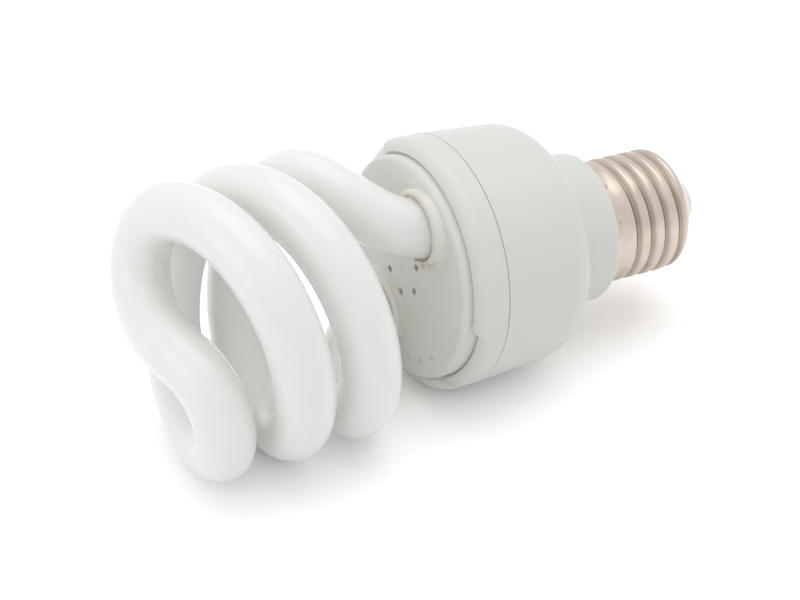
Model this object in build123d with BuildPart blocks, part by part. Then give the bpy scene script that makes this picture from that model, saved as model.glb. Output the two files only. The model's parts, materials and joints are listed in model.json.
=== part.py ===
from build123d import *
import os
from math import asin, atan2, cos, degrees, hypot, pi, radians, sin, sqrt, tan

# Spiral compact fluorescent lamp with an E27 cap, lying on its side as it comes to rest.
# Lengths are in millimetres. Heights along the lamp are taken from the seam between the housing
# and the cover ring: positive towards the spiral's head, negative towards the screw cap.
# Angles round the lamp are taken from its uppermost line, turning towards the far side (+Y).

# Glass spiral
tube_diameter = 11.7
coil_radius = 23.8  # centre line of the turns
coil_pitch = 30.1  # rise of one arm in a full turn
bridge_height = 64.4  # centre line of the bridge at the head
bend_gap = 3.6  # between the circles of the bridge's two bends, seen from the head
bridge_angle = 23.5  # where an arm leaves its turn for the bridge
arm_angle = 347.0  # how far one arm winds before it leaves for its leg
spiral_lean = 4.4  # how far the spiral leans off the lamp's axis, towards the near side
leg_inset = 9.2  # from the plate's edge to where the legs pass through it
leg_angle = -27.0
leg_lean = 22.0
leg_straight = 4.0  # straight length in front of the plate
leg_clearance = 1.4  # between the tube's end and the circuit board

# Tube plate, its collars and the cement round the legs
plate_front = 8.9
plate_thickness = 2.0
plate_edge_fillet = 1.2
collar_wall = 1.4
collar_height = 1.8
collar_depth = 4.0
collar_edge_chamfer = 0.7
cement_thickness = 0.5
cement_recess = 0.3
cement_gap = 0.05
vent_diameter = 1.5
vent_spacing = 5.6

# Cover ring
ring_height = 7.0
ring_edge_fillet = 2.6
ring_front_width = 2.65
ring_gap = 0.4  # open groove round the plate
ring_shelf_height = 2.6
ring_shelf_thickness = 1.6
ring_shelf_width = 3.0
ring_wall = 1.6
cutback_angle = 66.0  # length of each cut-back stretch of the ring's front
cutback_start = 18.0
cutback_slant = 5.0  # how far its ends turn inward from the ring's bore to its outside
cutback_depth = 1.8

# Housing
housing_radius = 26.25
housing_taper = 3.8
housing_wall = 1.8
mouth_wall = 2.0
mouth_depth = 5.4
ledge_width = 1.8
ledge_thickness = 1.6
shoulder_depth = 23.5
shoulder_flat = 1.3  # between the shoulder's round and the neck
neck_radius = 15.9
neck_length = 10.7
neck_edge_chamfer = 1.0
spigot_length = 9.0
spigot_wall = 1.15
fit_gap = 0.15

# Screw cap, E27
shell_skirt_radius = 13.0
shell_skirt_length = 3.6
skirt_step = 0.9  # from the skirt down to the thread's root
shell_length = 22.0
shell_end_inset = 2.2  # from the thread's root in to the shell's end
shell_end_slope = 40.0
shell_end_fillet = 1.8
shell_sheet = 0.4
insulator_length = 3.6
insulator_tip_radius = 5.5
insulator_flange = 1.5
insulator_flange_gap = 1.0
contact_radius = 4.7
contact_thickness = 1.3
contact_edge_chamfer = 0.5
wire_hole_radius = 1.2

# Circuit board, and the tube's leads on its wire posts
board_turn = -40.0  # turn of the components round the lamp
board_thickness = 1.4
board_edge_gap = 0.3
board_clamp_gap = 0.2
post_side = 0.9
post_height = 3.0
post_inset = 1.3  # from the ring's spigot in to the posts
post_spread = 6.0
post_lead_height = 2.0
tube_lead_side = 0.5
tube_lead_spread = 1.6
tube_lead_stub = 1.2

# Smoothing capacitor
capacitor_radius = 5.0
capacitor_length = 21.0
capacitor_crimp_drop = 2.9
capacitor_crimp_depth = 0.5
capacitor_crimp_width = 1.8
capacitor_end_chamfer = 0.6

# Choke
choke_x = -14.2
choke_length = 16.0
choke_depth = 13.4
choke_core_thickness = 5.0
choke_yoke = 2.2
choke_limb = 4.0
choke_flange_side = 10.6
choke_flange = 0.8
choke_tube_wall = 0.6
choke_gap = 0.1
choke_winding_inset = 0.5
choke_winding_fillet = 1.0

# Drive toroid
toroid_spot = (12.6, 8.6)
toroid_radius = 4.2
toroid_section_width = 2.2
toroid_section_height = 3.6
toroid_wire = 0.5
toroid_wire_gap = 0.05
toroid_groups = 3
toroid_turns = 3
toroid_turn_angle = 24.0

# Transistors
transistor_width = 7.8
transistor_thickness = 2.8
transistor_height = 10.8
transistor_hole_diameter = 3.1
transistor_hole_drop = 3.4
transistor_lead_side = 0.7
transistor_lead_length = 2.4
transistor_lead_spacing = 2.3
transistor_spots = ((4.6, 14.2), (-4.6, 14.2))

# Film capacitors: length, breadth and height, and the corner nearest the lamp's axis
resonance_size = (11.0, 5.0, 10.0)
resonance_spot = (7.4, -2.5)
coupling_size = (8.6, 4.2, 8.0)
coupling_x = -7.9
coupling_inset = 11.05  # from the board's edge in to that corner
film_edge_fillet = 1.1

# Axial components that stand on the board, each with one lead bent over and back to it
axial_lead_side = 0.5
axial_lead_rise = 1.0
axial_lead_gap = 0.8
diode_radius = 1.35
diode_length = 5.2
diode_spots = ((2.5, -10.2), (6.7, -10.2), (10.9, -10.2), (15.1, -10.2))
resistor_radius = 1.1
resistor_length = 6.3
resistor_spots = ((8.0, 3.0), (17.5, 1.6), (7.6, -13.4), (10.8, -13.4))
trigger_radius = 0.95
trigger_length = 3.8
trigger_spot = (-10.2, -12.6)

# Supply leads in the neck
fuse_radius = 1.6
fuse_length = 7.0
fuse_drop = 22.0  # how far below the board the fuse resistor starts
fuse_spot = (6.2, -5.6)
fuse_lead_radius = 0.4
supply_wire_radius = 0.6
contact_wire_drop = 3.5
contact_wire_run = 12.0
shell_wire_angle = 117.8
shell_wire_inset = 1.8  # from the spigot's bore in to the wire
shell_wire_drop = 4.0  # how far below the spigot the wire meets the shell


# Heights along the lamp and radii that follow from the sizes above

tube_radius = tube_diameter / 2
board_seat = -mouth_depth
board_top = board_seat + board_thickness
ring_end = board_top + board_clamp_gap
neck_end = -(shoulder_depth + neck_length)
shell_end = neck_end - shell_length
contact_seat = shell_end - insulator_length
contact_tip = contact_seat - contact_thickness
mouth_radius = housing_radius - mouth_wall
board_radius = mouth_radius - board_edge_gap
ring_bore_radius = housing_radius - ring_front_width
plate_radius = ring_bore_radius - ring_gap
leg_circle_radius = plate_radius - leg_inset
thread_root_radius = shell_skirt_radius - skirt_step
shell_end_radius = thread_root_radius - shell_end_inset
skirt_bore_radius = shell_skirt_radius - shell_sheet
root_bore_radius = thread_root_radius - shell_sheet
spigot_radius = root_bore_radius - fit_gap
spigot_bore_radius = spigot_radius - spigot_wall

bridge_bend = (coil_radius - bend_gap / 2) / 2
bend_centre_radius = coil_radius - bridge_bend
bridge_straight = sqrt(bend_centre_radius**2 - bridge_bend**2)
bridge_direction = bridge_angle + degrees(asin(bridge_bend / bend_centre_radius))
bend_sweep = bridge_direction + 90 - bridge_angle
coil_slope = coil_pitch / (2 * pi * coil_radius)
bend_rise = coil_slope * bridge_bend * radians(bend_sweep)
arm_top_height = bridge_height - bend_rise - coil_slope * bridge_straight / 2
arm_foot_height = arm_top_height - coil_pitch * arm_angle / 360
low_turn_height = arm_top_height - coil_pitch * (180 + bridge_angle) / 360

# The lamp comes to rest on its lowest turn of glass and on the housing's shoulder.
# The floor is the common tangent of the turn's round section and the shoulder's arc.

taper_ratio = tan(radians(housing_taper))
shoulder_width = housing_radius - shoulder_depth * taper_ratio - neck_radius
shoulder_fillet = (shoulder_width - shoulder_flat) * tan(radians((90 + housing_taper) / 2))
shoulder_arc_height = -shoulder_depth + shoulder_fillet
shoulder_arc_radius = (
    housing_radius + shoulder_arc_height * taper_ratio - shoulder_fillet / cos(radians(housing_taper))
)
lean_along = cos(radians(spiral_lean))
lean_aside = sin(radians(spiral_lean))
rest_span = low_turn_height * lean_along - shoulder_arc_height
rest_step = coil_radius - shoulder_arc_radius
rest_tilt = atan2(rest_step, rest_span) + asin((tube_radius - shoulder_fillet) / hypot(rest_span, rest_step))

lamp_height = coil_radius * cos(rest_tilt) - low_turn_height * lean_along * sin(rest_tilt) + tube_radius
head_reach = bridge_height * lean_along * cos(rest_tilt) + tube_radius
contact_face_radius = contact_radius - contact_edge_chamfer
cap_reach = contact_face_radius * sin(rest_tilt) - contact_tip * cos(rest_tilt)
lamp_x = (head_reach - cap_reach) / 2
lamp_y = low_turn_height * lean_aside

# The lamp's own plane: x is its uppermost line, y the far side, z the axis towards the head

LAMP = Plane(
    origin=(lamp_x, lamp_y, lamp_height),
    x_dir=(sin(rest_tilt), 0, cos(rest_tilt)),
    z_dir=(-cos(rest_tilt), 0, sin(rest_tilt)),
)
LAMP_AXIS = Axis(LAMP.origin, LAMP.z_dir)


def lamp_point(x, y, height):
    """A point given across and along the lamp, in the model's frame."""
    return LAMP.from_local_coords(Vector(x, y, height))


def lamp_direction(x, y, along):
    """A direction given across and along the lamp, in the model's frame."""
    return LAMP.from_local_coords(Vector(x, y, along)) - LAMP.origin


def turned(radius, angle):
    """Across-the-lamp coordinates of a point at a radius and angle."""
    return radius * cos(radians(angle)), radius * sin(radians(angle))


SPIRAL = Plane(origin=LAMP.origin, x_dir=LAMP.x_dir, z_dir=lamp_direction(0, -lean_aside, lean_along))
SPIRAL_AXIS = Axis(SPIRAL.origin, SPIRAL.z_dir)


def spiral_point(x, y, height):
    """A point given across and along the leaning spiral, in the model's frame."""
    return SPIRAL.from_local_coords(Vector(x, y, height))


def plane_across(radius, angle, height):
    """A plane across the spiral, at a point round its axis, with its x pointing outward."""
    return Plane(
        origin=spiral_point(*turned(radius, angle), height),
        x_dir=spiral_point(*turned(1, angle), 0) - SPIRAL.origin,
        z_dir=SPIRAL.z_dir,
    )


def profile_plane(angle=0):
    """The plane through the lamp's axis at an angle: its x is radius and its y is height."""
    outward = lamp_direction(*turned(1, angle), 0)
    return Plane(origin=LAMP.origin, x_dir=outward, z_dir=outward.cross(LAMP.z_dir))


def leg_plane(angle):
    """A leg's own plane where it passes the plate's front face: its z runs out along the leg."""
    return Plane(
        origin=lamp_point(*turned(leg_circle_radius, angle), plate_front),
        x_dir=lamp_direction(*turned(-1, angle), 0),
        z_dir=lamp_direction(*turned(sin(radians(leg_lean)), angle + 90), cos(radians(leg_lean))),
    )


def outline(plane, points, rounded=()):
    """A closed outline on a plane, with each listed corner rounded to its radius."""
    with BuildSketch(plane) as shape:
        with BuildLine():
            Polyline(*points, close=True)
        make_face()
        for corner, radius in rounded:
            fillet(shape.vertices().sort_by_distance(corner)[0], radius)
    return shape.sketch


PROFILE = profile_plane()

# The components' own plane: the lamp's plane turned round its axis
BOARD = Plane(origin=LAMP.origin, x_dir=lamp_direction(*turned(1, board_turn), 0), z_dir=LAMP.z_dir)
BOARD_FACE = BOARD.offset(board_seat)  # the side that carries the components and faces the cap


def board_point(x, y, height):
    """Point beside the components' uppermost line in the shared frame."""
    return BOARD.from_local_coords(Vector(x, y, height))


def board_direction(x, y, along):
    """Direction in the components' own plane, in the shared frame."""
    return board_point(x, y, along) - BOARD.origin


LEGS = (leg_plane(leg_angle), leg_plane(leg_angle + 180))
leg_end_drop = tube_radius * sin(radians(leg_lean))
leg_inside = (plate_front - board_top - leg_clearance - leg_end_drop) / cos(radians(leg_lean))


# Glass spiral: each arm runs from its sealed end, through the plate and round the coil to the middle
# of the bridge. The coil's two arms are half a turn apart round the spiral's own axis.

COIL_FOOT = plane_across(0, bridge_angle - arm_angle, arm_foot_height)
coil_turn = COIL_FOOT * Helix(coil_pitch, arm_top_height - arm_foot_height, coil_radius)
BRIDGE_BEND = plane_across(bend_centre_radius, bridge_angle, arm_top_height)
bridge_turn = BRIDGE_BEND * Helix(coil_slope * 2 * pi * bridge_bend, bend_rise, bridge_bend)

with BuildLine() as bridge_path:
    bridge_crown = Spline(
        bridge_turn @ 1,
        spiral_point(0, 0, bridge_height),
        tangents=(bridge_turn % 1, SPIRAL.origin - spiral_point(*turned(1, bridge_direction), 0)),
    )

with BuildPart() as spiral_tube:
    for leg, half_turn in zip(LEGS, (0, 180)):
        arm_turn = coil_turn.rotate(SPIRAL_AXIS, half_turn)
        arm_bend = bridge_turn.rotate(SPIRAL_AXIS, half_turn)
        arm_crown = bridge_crown.rotate(SPIRAL_AXIS, half_turn)
        with BuildLine() as leg_path:
            leg_line = Line(leg.offset(-leg_inside).origin, leg.offset(leg_straight).origin)
            leg_bend = Spline(leg_line @ 1, arm_turn @ 0, tangents=(leg_line % 1, arm_turn % 0))
        for stretch in (leg_line, leg_bend, arm_turn, arm_bend, arm_crown):
            with BuildSketch(Plane(origin=stretch @ 0, z_dir=stretch % 0)):
                Circle(tube_radius)
            sweep(path=stretch)


# Tube plate: a shallow cup that stands on the ring's shelf, with a collar along each leg

plate_underside = plate_front - plate_thickness
plate_bore_radius = plate_radius - plate_thickness
collar_bore_radius = tube_radius + cement_thickness
collar_radius = collar_bore_radius + collar_wall
collar_rim = plate_front + collar_height
collar_reach = collar_height / cos(radians(leg_lean)) + collar_radius * tan(radians(leg_lean))

with BuildPart() as tube_plate:
    plate_section = outline(
        PROFILE,
        (
            (0, plate_front),
            (plate_radius, plate_front),
            (plate_radius, ring_shelf_height),
            (plate_bore_radius, ring_shelf_height),
            (plate_bore_radius, plate_underside),
            (0, plate_underside),
        ),
        rounded=[((plate_radius, plate_front), plate_edge_fillet)],
    )
    revolve(plate_section, axis=LAMP_AXIS)
    for leg in LEGS:
        with BuildSketch(leg.offset(-collar_depth)):
            Circle(collar_radius)
        extrude(amount=collar_depth + collar_reach)
    split(bisect_by=LAMP.offset(collar_rim), keep=Keep.BOTTOM)
    chamfer(tube_plate.faces().sort_by(LAMP_AXIS)[-2:].edges(), collar_edge_chamfer)
    for leg in LEGS:
        with BuildSketch(leg.offset(-leg_inside)):
            Circle(collar_bore_radius)
        extrude(amount=leg_inside + collar_reach, mode=Mode.SUBTRACT)
    split(bisect_by=LAMP.offset(ring_shelf_height), keep=Keep.TOP)
    with BuildSketch(LAMP.offset(plate_front)):
        Circle(vent_diameter / 2)
        with PolarLocations(vent_spacing, 6):
            Circle(vent_diameter / 2)
    extrude(amount=-plate_thickness, mode=Mode.SUBTRACT)


# Cement in the gap between each leg and its collar

with BuildPart() as tube_cement:
    for leg in LEGS:
        with BuildSketch(leg.offset(-plate_thickness)):
            Circle(collar_bore_radius - cement_gap)
            Circle(tube_radius + cement_gap, mode=Mode.SUBTRACT)
        extrude(amount=plate_thickness + collar_reach)
    split(bisect_by=LAMP.offset(collar_rim - cement_recess), keep=Keep.BOTTOM)


# Cover ring: it carries the plate on a shelf and plugs into the housing's mouth.
# Its front edge is cut back along two stretches.

ring_shelf_radius = ring_bore_radius - ring_shelf_width
ring_shelf_foot = ring_shelf_height - ring_shelf_thickness
ring_spigot_radius = mouth_radius - fit_gap
ring_spigot_bore = ring_spigot_radius - ring_wall
cutback_inside = ring_bore_radius - ring_front_width
cutback_outside = housing_radius + ring_front_width

with BuildPart() as cover_ring:
    ring_section = outline(
        PROFILE,
        (
            (housing_radius, 0),
            (housing_radius, ring_height),
            (ring_bore_radius, ring_height),
            (ring_bore_radius, ring_shelf_height),
            (ring_shelf_radius, ring_shelf_height),
            (ring_shelf_radius, ring_shelf_foot),
            (ring_spigot_bore, ring_shelf_foot),
            (ring_spigot_bore, ring_end),
            (ring_spigot_radius, ring_end),
            (ring_spigot_radius, 0),
        ),
        rounded=[((housing_radius, ring_height), ring_edge_fillet)],
    )
    revolve(ring_section, axis=LAMP_AXIS)
    with BuildSketch(LAMP.offset(ring_height)):
        for start in (cutback_start, cutback_start + 180):
            end = start + cutback_angle
            with BuildLine():
                Polyline(
                    turned(cutback_inside, start - cutback_slant),
                    turned(cutback_outside, start + 2 * cutback_slant),
                    turned(2 * housing_radius, start + cutback_angle / 2),
                    turned(cutback_outside, end - 2 * cutback_slant),
                    turned(cutback_inside, end + cutback_slant),
                    close=True,
                )
            make_face()
    extrude(amount=-cutback_depth, mode=Mode.SUBTRACT)


# Housing: a tapered shell with a rounded shoulder, a neck, and a spigot that the screw shell grips.
# A ledge inside its mouth carries the circuit board.


def housing_outside(height):
    """Outside radius of the tapered wall at a height."""
    return housing_radius + height * taper_ratio


def housing_inside(height):
    """Inside radius of the tapered wall at a height."""
    return housing_outside(height) - housing_wall / cos(radians(housing_taper))


shoulder_inside = -shoulder_depth + housing_wall
shoulder_bevel = (shoulder_fillet - housing_wall) * (1 - tan(radians(22.5)))
shoulder_bevel_height = shoulder_inside + shoulder_bevel
neck_floor = neck_end + housing_wall
neck_bore_radius = neck_radius - housing_wall
ledge_radius = mouth_radius - ledge_width
ledge_foot = board_seat - ledge_thickness
spigot_step = neck_end - shell_skirt_length + shell_sheet + fit_gap
spigot_end = neck_end - spigot_length

with BuildPart() as housing:
    housing_section = outline(
        PROFILE,
        (
            (housing_radius, 0),
            (housing_outside(-shoulder_depth), -shoulder_depth),
            (neck_radius, -shoulder_depth),
            (neck_radius, neck_end + neck_edge_chamfer),
            (neck_radius - neck_edge_chamfer, neck_end),
            (skirt_bore_radius - fit_gap, neck_end),
            (skirt_bore_radius - fit_gap, spigot_step),
            (spigot_radius, spigot_step),
            (spigot_radius, spigot_end),
            (spigot_bore_radius, spigot_end),
            (spigot_bore_radius, neck_floor),
            (neck_bore_radius, neck_floor),
            (neck_bore_radius, shoulder_inside),
            (housing_inside(shoulder_inside) - shoulder_bevel, shoulder_inside),
            (housing_inside(shoulder_bevel_height), shoulder_bevel_height),
            (housing_inside(ledge_foot - ledge_width), ledge_foot - ledge_width),
            (ledge_radius, ledge_foot),
            (ledge_radius, board_seat),
            (mouth_radius, board_seat),
            (mouth_radius, 0),
        ),
        rounded=[((housing_outside(-shoulder_depth), -shoulder_depth), shoulder_fillet)],
    )
    revolve(housing_section, axis=LAMP_AXIS)


# Screw shell: rolled sheet with a skirt round the spigot and a coned end

cone_ratio = tan(radians(shell_end_slope))
cone_sheet = shell_sheet / sin(radians(shell_end_slope))
cone_start = shell_end + (thread_root_radius - shell_end_radius) * cone_ratio
lip_radius = shell_end_radius - cone_sheet
cone_bore_start = shell_end + (root_bore_radius - lip_radius) * cone_ratio
skirt_end = neck_end - shell_skirt_length

with BuildPart() as screw_shell:
    shell_section = outline(
        PROFILE,
        (
            (shell_skirt_radius, neck_end),
            (shell_skirt_radius, skirt_end),
            (thread_root_radius, skirt_end),
            (thread_root_radius, cone_start),
            (shell_end_radius, shell_end),
            (lip_radius, shell_end),
            (root_bore_radius, cone_bore_start),
            (root_bore_radius, skirt_end + shell_sheet),
            (skirt_bore_radius, skirt_end + shell_sheet),
            (skirt_bore_radius, neck_end),
        ),
        rounded=[((thread_root_radius, cone_start), shell_end_fillet)],
    )
    revolve(shell_section, axis=LAMP_AXIS)


# Insulating cone, seated behind the shell's lip, and the contact on its tip

plug_radius = lip_radius - fit_gap / sin(radians(shell_end_slope))
flange_radius = root_bore_radius - insulator_flange_gap
flange_height = shell_end + (flange_radius - plug_radius) * cone_ratio

with BuildPart() as cap_insulator:
    insulator_section = outline(
        PROFILE,
        (
            (wire_hole_radius, contact_seat),
            (insulator_tip_radius, contact_seat),
            (plug_radius, shell_end),
            (flange_radius, flange_height),
            (flange_radius, flange_height + insulator_flange),
            (wire_hole_radius, flange_height + insulator_flange),
        ),
    )
    revolve(insulator_section, axis=LAMP_AXIS)

with BuildPart() as centre_contact:
    contact_section = outline(
        PROFILE,
        (
            (0, contact_seat),
            (contact_radius, contact_seat),
            (contact_radius, contact_tip + contact_edge_chamfer),
            (contact_face_radius, contact_tip),
            (0, contact_tip),
        ),
    )
    revolve(contact_section, axis=LAMP_AXIS)


# Circuit board on the housing's ledge, held down by the ring's spigot

with BuildPart() as circuit_board:
    with BuildSketch(BOARD_FACE):
        Circle(board_radius)
    extrude(amount=board_thickness)


# Wire posts on the board's other side, and the tube's leads from each sealed end to its two posts

TUBE_ENDS = [leg.offset(-leg_inside) for leg in LEGS]
tube_end_spots = [LAMP.to_local_coords(end.origin) for end in TUBE_ENDS]
tube_end_angles = [degrees(atan2(spot.Y, spot.X)) for spot in tube_end_spots]
post_sides = (1, -1)
post_circle_radius = ring_spigot_bore - post_inset


def post_spot(angle, side):
    """Where a wire post stands, beside the tube end at an angle."""
    return turned(post_circle_radius, angle - side * post_spread)


with BuildPart() as wire_posts:
    for angle in tube_end_angles:
        with BuildSketch(LAMP.offset(board_top)):
            with Locations(*[post_spot(angle, side) for side in post_sides]):
                Rectangle(post_side, post_side)
        extrude(amount=post_height)

with BuildPart() as tube_leads:
    for end, angle in zip(TUBE_ENDS, tube_end_angles):
        for side in post_sides:
            lead_root = end.from_local_coords(Vector(0, side * tube_lead_spread, 0))
            lead_turn = end.from_local_coords(Vector(0, side * tube_lead_spread, -tube_lead_stub))
            post_head = lamp_point(*post_spot(angle, side), board_top + post_lead_height)
            lead_end = post_head + (lead_turn - post_head).normalized() * post_side
            with BuildLine() as lead_path:
                lead_line = Polyline(lead_root, lead_turn, lead_end)
            with BuildSketch(Plane(origin=lead_line @ 0, z_dir=lead_line % 0)):
                Rectangle(tube_lead_side, tube_lead_side)
            sweep(path=lead_line, transition=Transition.RIGHT)


# Smoothing capacitor: a crimped can on the lamp's axis that reaches into the neck

crimp_height = board_seat - capacitor_crimp_drop
capacitor_end = board_seat - capacitor_length

with BuildPart() as smoothing_capacitor:
    capacitor_section = outline(
        PROFILE,
        (
            (0, board_seat),
            (capacitor_radius, board_seat),
            (capacitor_radius, crimp_height + capacitor_crimp_width / 2),
            (capacitor_radius - capacitor_crimp_depth, crimp_height),
            (capacitor_radius, crimp_height - capacitor_crimp_width / 2),
            (capacitor_radius, capacitor_end + capacitor_end_chamfer),
            (capacitor_radius - capacitor_end_chamfer, capacitor_end),
            (0, capacitor_end),
        ),
    )
    revolve(capacitor_section, axis=LAMP_AXIS)


# Choke: a pair of E cores as one block with two windows, and a wound bobbin on its middle limb

choke_middle = board_point(choke_x, 0, board_seat - choke_depth / 2)
CHOKE_SIDE = Plane(origin=choke_middle, x_dir=BOARD.y_dir, z_dir=BOARD.x_dir)
CHOKE_END = Plane(origin=choke_middle, x_dir=BOARD.x_dir, z_dir=BOARD.y_dir)
window_length = choke_length - 2 * choke_yoke
window_height = (choke_depth - 2 * choke_yoke - choke_limb) / 2
window_offset = (choke_limb + window_height) / 2
bobbin_length = window_length - 2 * choke_gap
bobbin_bore = (choke_core_thickness + 2 * choke_gap, choke_limb + 2 * choke_gap)
bobbin_tube = (bobbin_bore[0] + 2 * choke_tube_wall, bobbin_bore[1] + 2 * choke_tube_wall)
flange_depth = choke_limb + 2 * (window_height - choke_gap)

with BuildPart() as choke_core:
    with BuildSketch(CHOKE_SIDE):
        Rectangle(choke_length, choke_depth)
        with Locations((0, window_offset), (0, -window_offset)):
            Rectangle(window_length, window_height, mode=Mode.SUBTRACT)
    extrude(amount=choke_core_thickness / 2, both=True)

with BuildPart() as choke_bobbin:
    with BuildSketch(CHOKE_END):
        Rectangle(*bobbin_tube)
    extrude(amount=bobbin_length / 2, both=True)
    for side in (1, -1):
        with BuildSketch(CHOKE_END.offset(side * (bobbin_length - choke_flange) / 2)):
            Rectangle(choke_flange_side, flange_depth)
        extrude(amount=choke_flange / 2, both=True)
    with BuildSketch(CHOKE_END):
        Rectangle(*bobbin_bore)
    extrude(amount=bobbin_length / 2, both=True, mode=Mode.SUBTRACT)

with BuildPart() as choke_winding:
    with BuildSketch(CHOKE_END):
        RectangleRounded(
            choke_flange_side - 2 * choke_winding_inset,
            flange_depth - 2 * choke_winding_inset,
            choke_winding_fillet,
        )
        Rectangle(*bobbin_tube, mode=Mode.SUBTRACT)
    extrude(amount=bobbin_length / 2 - choke_flange, both=True)


# Drive toroid, raised from the board by the wire of its windings

toroid_lift = toroid_wire + toroid_wire_gap
toroid_foot = board_seat - toroid_lift
loop_width = toroid_section_width + 2 * toroid_wire_gap
loop_height = toroid_section_height + 2 * toroid_wire_gap
loop_radius = toroid_radius - toroid_section_width / 2

with BuildPart() as drive_toroid:
    with BuildSketch(BOARD.offset(toroid_foot)):
        with Locations(toroid_spot):
            Circle(toroid_radius)
            Circle(toroid_radius - toroid_section_width, mode=Mode.SUBTRACT)
    extrude(amount=-toroid_section_height)

with BuildPart() as toroid_windings:
    for group in range(toroid_groups):
        for turn in range(toroid_turns):
            loop_angle = group * 360 / toroid_groups + turn * toroid_turn_angle
            loop_x, loop_y = turned(loop_radius, loop_angle)
            loop_centre = board_point(
                toroid_spot[0] + loop_x, toroid_spot[1] + loop_y, toroid_foot - toroid_section_height / 2
            )
            loop_plane = Plane(
                origin=loop_centre,
                x_dir=board_direction(*turned(1, loop_angle), 0),
                z_dir=board_direction(*turned(1, loop_angle - 90), 0),
            )
            with BuildSketch(loop_plane):
                Rectangle(loop_width + 2 * toroid_wire, loop_height + 2 * toroid_wire)
                Rectangle(loop_width, loop_height, mode=Mode.SUBTRACT)
            extrude(amount=toroid_wire / 2, both=True)


# Two switching transistors, each a moulded block with a screw hole, on three leads

transistor_foot = board_seat - transistor_lead_length
transistor_hole_height = transistor_height / 2 - transistor_hole_drop

with BuildPart() as transistors:
    for x, y in transistor_spots:
        transistor_middle = board_point(x, y, transistor_foot - transistor_height / 2)
        with BuildSketch(Plane(origin=transistor_middle, x_dir=BOARD.x_dir, z_dir=BOARD.y_dir)):
            Rectangle(transistor_width, transistor_height)
            with Locations((0, transistor_hole_height)):
                Circle(transistor_hole_diameter / 2, mode=Mode.SUBTRACT)
        extrude(amount=transistor_thickness / 2, both=True)
        with BuildSketch(BOARD_FACE):
            with Locations((x, y)):
                with GridLocations(transistor_lead_spacing, transistor_lead_spacing, 3, 1):
                    Rectangle(transistor_lead_side, transistor_lead_side)
        extrude(amount=-transistor_lead_length)


# Film capacitors: each grows outward from its corner nearest the axis

with BuildPart() as resonance_capacitor:
    resonance_x = resonance_spot[0] + resonance_size[0] / 2
    resonance_y = resonance_spot[1] - resonance_size[1] / 2
    with BuildSketch(BOARD_FACE):
        with Locations((resonance_x, resonance_y)):
            RectangleRounded(resonance_size[0], resonance_size[1], film_edge_fillet)
    extrude(amount=-resonance_size[2])

with BuildPart() as coupling_capacitor:
    coupling_middle = coupling_x + coupling_size[0] / 2
    coupling_y = coupling_inset - board_radius - coupling_size[1] / 2
    with BuildSketch(BOARD_FACE):
        with Locations((coupling_middle, coupling_y)):
            RectangleRounded(coupling_size[0], coupling_size[1], film_edge_fillet)
    extrude(amount=-coupling_size[2])


# Axial components: the body stands on the board and one lead comes over from its far end


def axial_lead(spot, length, reach_x, reach_y):
    """The line of a lead from a standing body's far end, over and back to the board."""
    x, y = spot
    body_end = board_seat - length
    lead_top = body_end - axial_lead_rise
    with BuildLine() as line:
        Polyline(
            board_point(x, y, body_end),
            board_point(x, y, lead_top),
            board_point(x + reach_x, y + reach_y, lead_top),
            board_point(x + reach_x, y + reach_y, board_seat),
        )
    return line.line


diode_reach = diode_radius + axial_lead_gap
resistor_reach = resistor_radius + axial_lead_gap
trigger_reach = trigger_radius + axial_lead_gap

with BuildPart() as rectifier_diodes:
    with BuildSketch(BOARD_FACE):
        with Locations(*diode_spots):
            Circle(diode_radius)
    extrude(amount=-diode_length)
    for spot in diode_spots:
        lead = axial_lead(spot, diode_length, diode_reach, 0)
        with BuildSketch(Plane(origin=lead @ 0, z_dir=lead % 0)):
            Rectangle(axial_lead_side, axial_lead_side)
        sweep(path=lead, transition=Transition.RIGHT)

with BuildPart() as resistors:
    with BuildSketch(BOARD_FACE):
        with Locations(*resistor_spots):
            Circle(resistor_radius)
    extrude(amount=-resistor_length)
    for spot in resistor_spots:
        lead = axial_lead(spot, resistor_length, 0, -resistor_reach)
        with BuildSketch(Plane(origin=lead @ 0, z_dir=lead % 0)):
            Rectangle(axial_lead_side, axial_lead_side)
        sweep(path=lead, transition=Transition.RIGHT)

with BuildPart() as trigger_diode:
    with BuildSketch(BOARD_FACE):
        with Locations(trigger_spot):
            Circle(trigger_radius)
    extrude(amount=-trigger_length)
    lead = axial_lead(trigger_spot, trigger_length, 0, -trigger_reach)
    with BuildSketch(Plane(origin=lead @ 0, z_dir=lead % 0)):
        Rectangle(axial_lead_side, axial_lead_side)
    sweep(path=lead, transition=Transition.RIGHT)


# Supply leads: the fuse resistor hangs in the neck on its lead from the board, and a wire goes on
# from it to the centre contact. A second wire runs past the spigot to the shell's wall.

fuse_start = board_seat - fuse_drop
fuse_end = fuse_start - fuse_length
shell_wire_spot = turned(spigot_bore_radius - shell_wire_inset, shell_wire_angle)
shell_wire_end = spigot_end - shell_wire_drop

with BuildPart() as fuse_resistor:
    with BuildSketch(BOARD_FACE):
        with Locations(fuse_spot):
            Circle(fuse_lead_radius)
    extrude(amount=-fuse_drop)
    with BuildSketch(BOARD.offset(fuse_start)):
        with Locations(fuse_spot):
            Circle(fuse_radius)
    extrude(amount=-fuse_length)

with BuildPart() as contact_wire:
    with BuildLine() as contact_route:
        contact_line = Polyline(
            board_point(*fuse_spot, fuse_end),
            board_point(*fuse_spot, fuse_end - contact_wire_drop),
            board_point(0, 0, fuse_end - contact_wire_drop - contact_wire_run),
            board_point(0, 0, contact_seat),
        )
    with BuildSketch(Plane(origin=contact_line @ 0, z_dir=contact_line % 0)):
        Circle(supply_wire_radius)
    sweep(path=contact_line, transition=Transition.RIGHT)

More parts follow.
